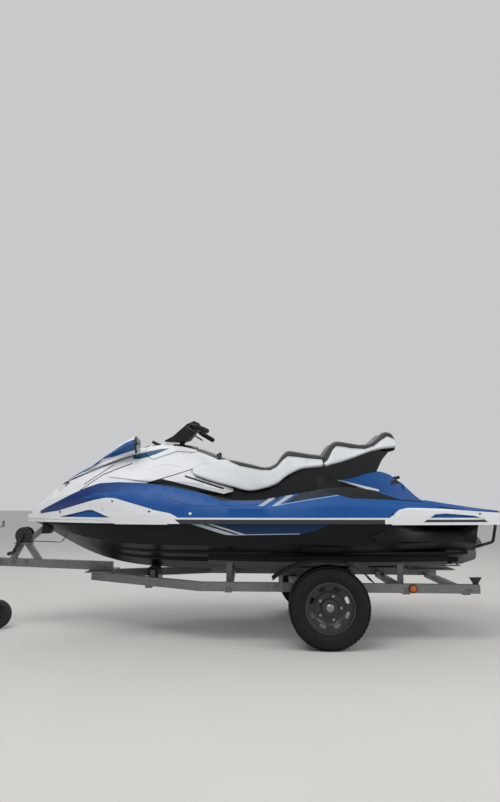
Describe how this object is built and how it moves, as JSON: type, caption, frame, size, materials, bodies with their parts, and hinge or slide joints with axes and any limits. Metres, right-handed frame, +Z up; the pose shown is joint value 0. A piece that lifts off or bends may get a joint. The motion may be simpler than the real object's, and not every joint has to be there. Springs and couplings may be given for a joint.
{
  "type": "personal watercraft on a road trailer",
  "caption": "Seated jet-driven personal watercraft with stepped seats, opening hood and turning handlebar, resting on bunks of a single-axle road trailer with winch and jockey wheel.",
  "frame": {"origin": "on the ground, in the middle of the whole length and width", "axes": "+X aft, +Y to starboard, +Z up"},
  "size_m": [4.28, 1.6, 1.58],
  "materials": {
    "hull_black": "black gelcoat, glossy",
    "gelcoat_blue": "vivid blue gelcoat, glossy",
    "gelcoat_white": "white gelcoat, glossy",
    "mirror_shell": "blue and white moulding",
    "mirror_glass": "mirror glass",
    "trim_black": "moulded black plastic",
    "rail_rubber": "dark grey soft rubber",
    "seat_vinyl": "light grey and black marine vinyl",
    "engine_metal": "cast block",
    "pump_metal": "cast aluminium, dark",
    "stainless": "stainless steel",
    "black_tube": "black coated tube",
    "galvanised": "hot-dip galvanised steel",
    "winch_paint": "black and zinc plated",
    "strap_webbing": "woven strap",
    "stop_rubber": "black rubber",
    "tyre_rubber": "tyre rubber",
    "rim_paint": "silver grey paint",
    "guard_plastic": "black plastic",
    "bunk_carpet": "bunk carpet",
    "lamp_amber": "amber lens",
    "bracket_paint": "black paint"
  },
  "bodies": {
    "root": {"axle": "galvanised", "bow_bumper": "gelcoat_white", "bow_stop": "stop_rubber", "bunks": "bunk_carpet", "coupling_head": "galvanised", "cowl_cap": "gelcoat_white", "cross_members": "galvanised", "deck": "gelcoat_blue", "deck_mats": "rail_rubber", "drawbar": "galvanised", "engine": "engine_metal", "front_seat": "seat_vinyl", "gauge": "trim_black", "grab_handle": "trim_black", "hood_hinge": "stainless", "hull": "hull_black", "hull_eyes": "stainless", "intake_grate": "trim_black", "jockey_tube": "galvanised", "keel_rollers": "stop_rubber", "knee_panels": "gelcoat_white", "light_brackets": "bracket_paint", "marker_lamps": "lamp_amber", "mudguard_stays": "galvanised", "mudguards": "guard_plastic", "pump_housing": "pump_metal", "rail_left": "galvanised", "rail_right": "galvanised", "rear_seat": "seat_vinyl", "ride_plate": "pump_metal", "rub_rail": "rail_rubber", "seat_base": "trim_black", "sponsons": "hull_black", "step_brackets": "black_tube", "stern_bumper": "gelcoat_white", "strap_hook": "stainless", "tail_fairing": "gelcoat_blue", "winch": "winch_paint", "winch_post": "galvanised", "winch_strap": "strap_webbing"},
    "wheel_left": {"tyre_left": "tyre_rubber", "rim_left": "rim_paint"},
    "wheel_right": {"tyre_right": "tyre_rubber", "rim_right": "rim_paint"},
    "jockey_leg": {"jockey_leg": "galvanised"},
    "jockey_fork": {"jockey_fork": "galvanised"},
    "jockey_wheel": {"jockey_wheel": "stop_rubber"},
    "handlebar": {"handlebar": "trim_black", "grips": "rail_rubber", "levers": "trim_black"},
    "steering_nozzle": {"steering_nozzle": "pump_metal"},
    "reverse_bucket": {"reverse_bucket": "pump_metal"},
    "impeller": {"impeller": "stainless"},
    "hood": {"hood": "gelcoat_white", "mirror_housings": "mirror_shell", "mirror_glasses": "mirror_glass"},
    "glovebox_lid": {"glovebox_lid": "trim_black"},
    "boarding_step": {"boarding_step": "black_tube"}
  },
  "joints": [
    {"name": "wheel_left_spin", "type": "hinge", "parent": "root", "child": "wheel_left", "pos_m": [0.802, -0.7, 0.266], "axis": [0, 1, 0], "continuous": true},
    {"name": "wheel_right_spin", "type": "hinge", "parent": "root", "child": "wheel_right", "pos_m": [0.802, 0.7, 0.266], "axis": [0, 1, 0], "continuous": true},
    {"name": "jockey_slide", "type": "slide", "parent": "root", "child": "jockey_leg", "axis": [0, 0, 1], "range_m": [0, 0.12]},
    {"name": "jockey_swivel", "type": "hinge", "parent": "jockey_leg", "child": "jockey_fork", "pos_m": [-1.688, -0.066, 0.236], "axis": [0, 0, 1], "continuous": true},
    {"name": "jockey_wheel_spin", "type": "hinge", "parent": "jockey_fork", "child": "jockey_wheel", "pos_m": [-1.633, -0.066, 0.105], "axis": [0, 1, 0], "continuous": true},
    {"name": "handlebar_turn", "type": "hinge", "parent": "root", "child": "handlebar", "pos_m": [-0.264, 0, 1.398], "axis": [0.42, 0, 0.9075], "range_deg": [-25, 25]},
    {"name": "nozzle_turn", "type": "hinge", "parent": "root", "child": "steering_nozzle", "pos_m": [1.892, 0, 0.56], "axis": [0, 0, 1], "range_deg": [-20, 20]},
    {"name": "bucket_swing", "type": "hinge", "parent": "root", "child": "reverse_bucket", "pos_m": [1.892, 0, 0.56], "axis": [0, 1, 0], "range_deg": [0, 58]},
    {"name": "impeller_spin", "type": "hinge", "parent": "root", "child": "impeller", "pos_m": [1.54, 0, 0.56], "axis": [1, 0, 0], "continuous": true},
    {"name": "hood_open", "type": "hinge", "parent": "root", "child": "hood", "pos_m": [-1.16, 0, 1.066], "axis": [0, 1, 0], "range_deg": [-55, 0]},
    {"name": "glovebox_open", "type": "hinge", "parent": "root", "child": "glovebox_lid", "pos_m": [0.046, 0, 1.322], "axis": [0, 1, 0], "range_deg": [0, 95]},
    {"name": "step_fold", "type": "hinge", "parent": "root", "child": "boarding_step", "pos_m": [1.94, 0, 0.604], "axis": [0, 1, 0], "range_deg": [0, 88], "stiffness_Nm_per_rad": 6, "springref_deg": -114.59}
  ],
  "couplings": [
    {"joint": "nozzle_turn", "follows": "handlebar_turn", "ratio": 0.8}
  ]
}
